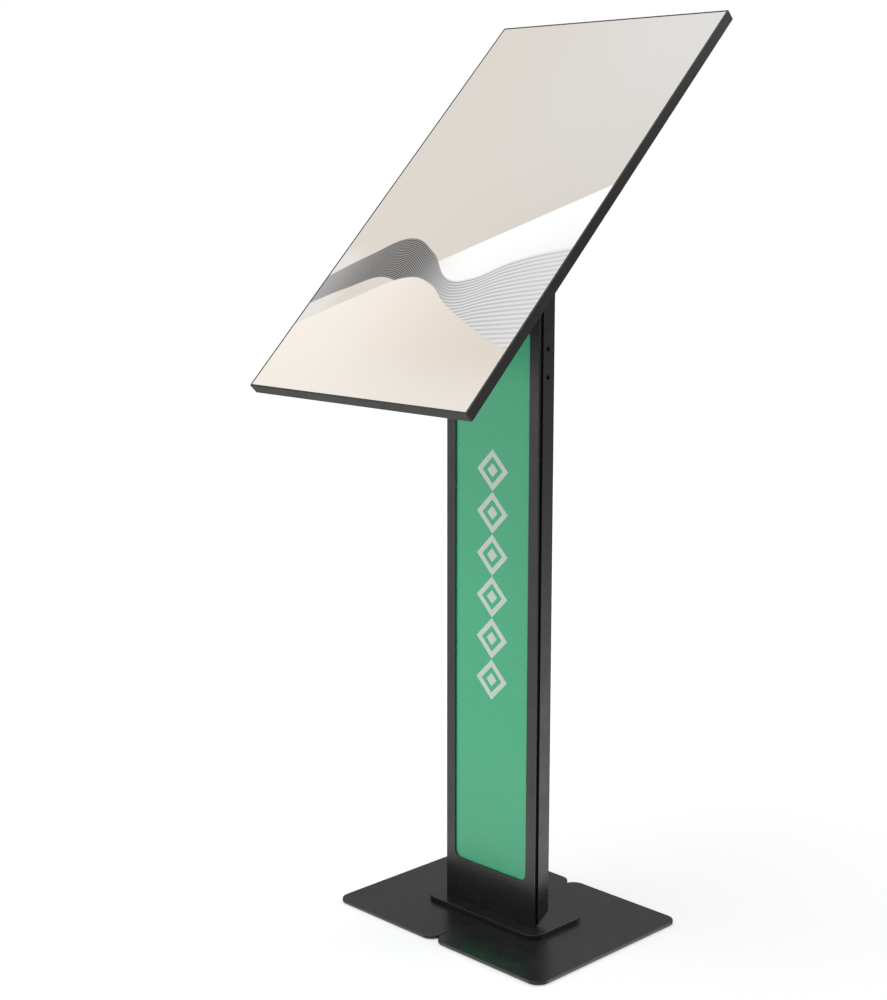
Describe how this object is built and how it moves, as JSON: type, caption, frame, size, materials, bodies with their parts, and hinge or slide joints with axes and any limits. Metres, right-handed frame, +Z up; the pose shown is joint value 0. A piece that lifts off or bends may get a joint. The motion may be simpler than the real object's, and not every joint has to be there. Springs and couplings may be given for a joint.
{
  "type": "touchscreen kiosk",
  "caption": "Free-standing kiosk: slim portrait touchscreen on a tilting, turning head over a boxed steel column with a framed graphic panel and a split flat base.",
  "frame": {"origin": "on the floor at the middle of the base", "axes": "+X to the viewer's right, +Y away from the viewer, +Z up; the display faces -Y and leans back"},
  "size_m": [0.418, 0.5141, 1.2969],
  "materials": {
    "black_powder_coat": "fine satin black powder coat",
    "inner_steel": "thin dark primer on folded steel",
    "rail_aluminium": "dark anodised extrusion",
    "green_panel": "satin printed acrylic",
    "black_rubber": "matt moulded rubber",
    "black_plastic": "fine moulded texture",
    "zinc_fixings": "bright zinc plate",
    "black_fixings": "black oxide",
    "bright_steel": "turned and plated steel",
    "bronze": "sintered bronze",
    "dark_anodised_rim": "charcoal satin anodised",
    "screen_glass": "toughened cover glass, bonded over the lit picture",
    "lcd_layer": "polarised glass sandwich",
    "light_guide": "white diffuser stack",
    "galvanised_pan": "galvanised sheet",
    "circuit_board": "green solder mask",
    "flat_cable": "white flat cable"
  },
  "bodies": {
    "stand": {"base_plate_left": "black_powder_coat", "base_plate_right": "black_powder_coat", "base_pads": "black_rubber", "base_screws": "zinc_fixings", "foot_flange": "black_powder_coat", "foot_bracket": "inner_steel", "foot_screws": "zinc_fixings", "column_core": "inner_steel", "column_side_left": "black_powder_coat", "column_side_right": "black_powder_coat", "fascia_frame": "black_powder_coat", "panel_rail_left": "rail_aluminium", "panel_rail_right": "rail_aluminium", "panel_ledge": "rail_aluminium", "graphic_panel": "green_panel", "fascia_screws": "zinc_fixings", "service_cover": "black_powder_coat", "service_screws": "zinc_fixings", "column_cap": "black_plastic", "cap_grommet": "black_rubber", "head_insert": "inner_steel", "side_screws": "black_fixings", "tilt_fork": "black_powder_coat", "fork_screws": "zinc_fixings", "tilt_axle": "bright_steel", "axle_nut": "bright_steel", "friction_washers": "bright_steel"},
    "tilt_head": {"tilt_knuckle": "black_powder_coat", "tilt_bushes": "bronze", "hub_ring": "bright_steel", "ring_screws": "zinc_fixings"},
    "display": {"display_bracket": "black_powder_coat", "hub_spindle": "bright_steel", "spindle_nut": "bright_steel", "spindle_screws": "zinc_fixings", "stop_pin": "bright_steel", "bracket_screws": "zinc_fixings", "display_standoffs": "bright_steel", "display_rim": "dark_anodised_rim", "cover_glass": "screen_glass", "glass_gasket": "black_rubber", "lcd_panel": "lcd_layer", "backlight": "light_guide", "back_pan": "galvanised_pan", "rear_cover": "black_powder_coat", "cover_screws": "zinc_fixings", "main_board": "circuit_board", "power_board": "circuit_board", "board_spacers": "bright_steel", "speakers": "black_plastic", "port_block": "black_plastic", "power_inlet": "black_plastic", "panel_cable": "flat_cable", "key_board": "circuit_board"},
    "power_button": {"power_button": "black_plastic"},
    "menu_button": {"menu_button": "black_plastic"},
    "plus_button": {"plus_button": "black_plastic"},
    "minus_button": {"minus_button": "black_plastic"}
  },
  "joints": [
    {"name": "display_tilt", "type": "hinge", "parent": "stand", "child": "tilt_head", "pos_m": [0, -0.018, 0.966], "axis": [1, 0, 0], "range_deg": [-30, 45]},
    {"name": "display_turn", "type": "hinge", "parent": "tilt_head", "child": "display", "pos_m": [0, 0.00816, 0.99216], "axis": [0, -0.7071, 0.7071], "range_deg": [0, 90]},
    {"name": "power_button_press", "type": "slide", "parent": "display", "child": "power_button", "axis": [-1, 0, 0], "range_m": [0, 0.001], "stiffness_N_per_m": 400},
    {"name": "menu_button_press", "type": "slide", "parent": "display", "child": "menu_button", "axis": [-1, 0, 0], "range_m": [0, 0.001], "stiffness_N_per_m": 400},
    {"name": "plus_button_press", "type": "slide", "parent": "display", "child": "plus_button", "axis": [-1, 0, 0], "range_m": [0, 0.001], "stiffness_N_per_m": 400},
    {"name": "minus_button_press", "type": "slide", "parent": "display", "child": "minus_button", "axis": [-1, 0, 0], "range_m": [0, 0.001], "stiffness_N_per_m": 400}
  ]
}
